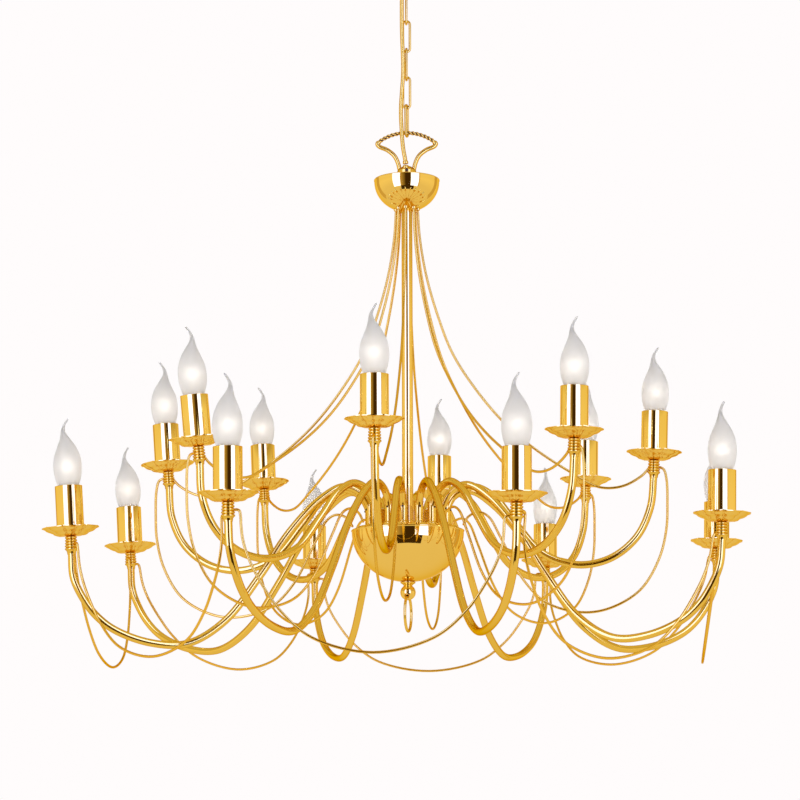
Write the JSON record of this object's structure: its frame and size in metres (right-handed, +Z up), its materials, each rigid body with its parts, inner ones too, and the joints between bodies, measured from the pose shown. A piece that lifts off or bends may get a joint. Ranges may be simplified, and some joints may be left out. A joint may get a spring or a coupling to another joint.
{
  "type": "multi arm chandelier",
  "caption": "Two-tier candle chandelier in polished gold, with curved tube arms, wire swags and scrolls around a bowl, on a chain from a ceiling rose.",
  "frame": {"origin": "middle of the ceiling rose's flat top, which bears on the ceiling", "axes": "+Z up along the stem, -Y the front that faces the viewer, +X to the viewer's right"},
  "size_m": [0.9041, 0.8984, 0.9776],
  "materials": {
    "polished_gold": "polished gold plate over brass",
    "frosted_glass": "frosted, lit warm white from inside",
    "cable_sheath": "gold-tinted smooth sheath"
  },
  "bodies": {
    "ceiling": {"ceiling_rose": "polished_gold"},
    "chain": {"chain_link_1": "polished_gold", "chain_link_2": "polished_gold", "chain_link_3": "polished_gold", "chain_link_4": "polished_gold", "supply_cable": "cable_sheath"},
    "chandelier": {"hanger_loop": "polished_gold", "top_cup": "polished_gold", "stem": "polished_gold", "centre_bowl": "polished_gold", "finial_ball": "polished_gold", "upper_arm_1": "polished_gold", "upper_candle_1": "polished_gold", "upper_arm_2": "polished_gold", "upper_candle_2": "polished_gold", "upper_arm_3": "polished_gold", "upper_candle_3": "polished_gold", "upper_arm_4": "polished_gold", "upper_candle_4": "polished_gold", "upper_arm_5": "polished_gold", "upper_candle_5": "polished_gold", "upper_arm_6": "polished_gold", "upper_candle_6": "polished_gold", "upper_arm_7": "polished_gold", "upper_candle_7": "polished_gold", "upper_arm_8": "polished_gold", "upper_candle_8": "polished_gold", "lower_arm_1": "polished_gold", "lower_candle_1": "polished_gold", "lower_arm_2": "polished_gold", "lower_candle_2": "polished_gold", "lower_arm_3": "polished_gold", "lower_candle_3": "polished_gold", "lower_arm_4": "polished_gold", "lower_candle_4": "polished_gold", "lower_arm_5": "polished_gold", "lower_candle_5": "polished_gold", "lower_arm_6": "polished_gold", "lower_candle_6": "polished_gold", "lower_arm_7": "polished_gold", "lower_candle_7": "polished_gold", "lower_arm_8": "polished_gold", "lower_candle_8": "polished_gold"},
    "pull_ring": {"pull_ring": "polished_gold"},
    "upper_bulb_1": {"upper_bulb_1": "frosted_glass"},
    "upper_bulb_2": {"upper_bulb_2": "frosted_glass"},
    "upper_bulb_3": {"upper_bulb_3": "frosted_glass"},
    "upper_bulb_4": {"upper_bulb_4": "frosted_glass"},
    "upper_bulb_5": {"upper_bulb_5": "frosted_glass"},
    "upper_bulb_6": {"upper_bulb_6": "frosted_glass"},
    "upper_bulb_7": {"upper_bulb_7": "frosted_glass"},
    "upper_bulb_8": {"upper_bulb_8": "frosted_glass"},
    "lower_bulb_1": {"lower_bulb_1": "frosted_glass"},
    "lower_bulb_2": {"lower_bulb_2": "frosted_glass"},
    "lower_bulb_3": {"lower_bulb_3": "frosted_glass"},
    "lower_bulb_4": {"lower_bulb_4": "frosted_glass"},
    "lower_bulb_5": {"lower_bulb_5": "frosted_glass"},
    "lower_bulb_6": {"lower_bulb_6": "frosted_glass"},
    "lower_bulb_7": {"lower_bulb_7": "frosted_glass"},
    "lower_bulb_8": {"lower_bulb_8": "frosted_glass"}
  },
  "joints": [
    {"name": "chain_swing", "type": "hinge", "parent": "ceiling", "child": "chain", "pos_m": [0, 0, -0.11045], "axis": [0, 1, 0], "range_deg": [-6, 6]},
    {"name": "chandelier_swing", "type": "hinge", "parent": "chain", "child": "chandelier", "pos_m": [0, 0, -0.2618], "axis": [1, 0, 0], "range_deg": [-6, 6]},
    {"name": "ring_swing", "type": "hinge", "parent": "chandelier", "child": "pull_ring", "pos_m": [0, 0, -0.88], "axis": [0.1822, 0.9833, 0], "range_deg": [-60, 60]},
    {"name": "upper_bulb_1_out", "type": "slide", "parent": "chandelier", "child": "upper_bulb_1", "axis": [-0.0036, -0.0294, 0.9996], "range_m": [0, 0.03]},
    {"name": "upper_bulb_2_out", "type": "slide", "parent": "chandelier", "child": "upper_bulb_2", "axis": [0.0183, -0.0233, 0.9996], "range_m": [0, 0.03]},
    {"name": "upper_bulb_3_out", "type": "slide", "parent": "chandelier", "child": "upper_bulb_3", "axis": [0.0381, -0.0047, 0.9993], "range_m": [0, 0.03]},
    {"name": "upper_bulb_4_out", "type": "slide", "parent": "chandelier", "child": "upper_bulb_4", "axis": [0.023, 0.0188, 0.9996], "range_m": [0, 0.03]},
    {"name": "upper_bulb_5_out", "type": "slide", "parent": "chandelier", "child": "upper_bulb_5", "axis": [0.0042, 0.0294, 0.9996], "range_m": [0, 0.03]},
    {"name": "upper_bulb_6_out", "type": "slide", "parent": "chandelier", "child": "upper_bulb_6", "axis": [-0.0468, 0.0586, 0.9972], "range_m": [0, 0.03]},
    {"name": "upper_bulb_7_out", "type": "slide", "parent": "chandelier", "child": "upper_bulb_7", "axis": [-0.0726, 0.0093, 0.9973], "range_m": [0, 0.03]},
    {"name": "upper_bulb_8_out", "type": "slide", "parent": "chandelier", "child": "upper_bulb_8", "axis": [-0.0903, -0.0711, 0.9934], "range_m": [0, 0.03]},
    {"name": "lower_bulb_1_out", "type": "slide", "parent": "chandelier", "child": "lower_bulb_1", "axis": [0.0083, -0.0285, 0.9996], "range_m": [0, 0.03]},
    {"name": "lower_bulb_2_out", "type": "slide", "parent": "chandelier", "child": "lower_bulb_2", "axis": [0.026, -0.0142, 0.9996], "range_m": [0, 0.03]},
    {"name": "lower_bulb_3_out", "type": "slide", "parent": "chandelier", "child": "lower_bulb_3", "axis": [0.0284, 0.0085, 0.9996], "range_m": [0, 0.03]},
    {"name": "lower_bulb_4_out", "type": "slide", "parent": "chandelier", "child": "lower_bulb_4", "axis": [0.0137, 0.0263, 0.9996], "range_m": [0, 0.03]},
    {"name": "lower_bulb_5_out", "type": "slide", "parent": "chandelier", "child": "lower_bulb_5", "axis": [-0.0094, 0.0281, 0.9996], "range_m": [0, 0.03]},
    {"name": "lower_bulb_6_out", "type": "slide", "parent": "chandelier", "child": "lower_bulb_6", "axis": [-0.0617, 0.0325, 0.9976], "range_m": [0, 0.03]},
    {"name": "lower_bulb_7_out", "type": "slide", "parent": "chandelier", "child": "lower_bulb_7", "axis": [-0.0652, -0.0195, 0.9977], "range_m": [0, 0.03]},
    {"name": "lower_bulb_8_out", "type": "slide", "parent": "chandelier", "child": "lower_bulb_8", "axis": [-0.0139, -0.0262, 0.9996], "range_m": [0, 0.03]}
  ]
}
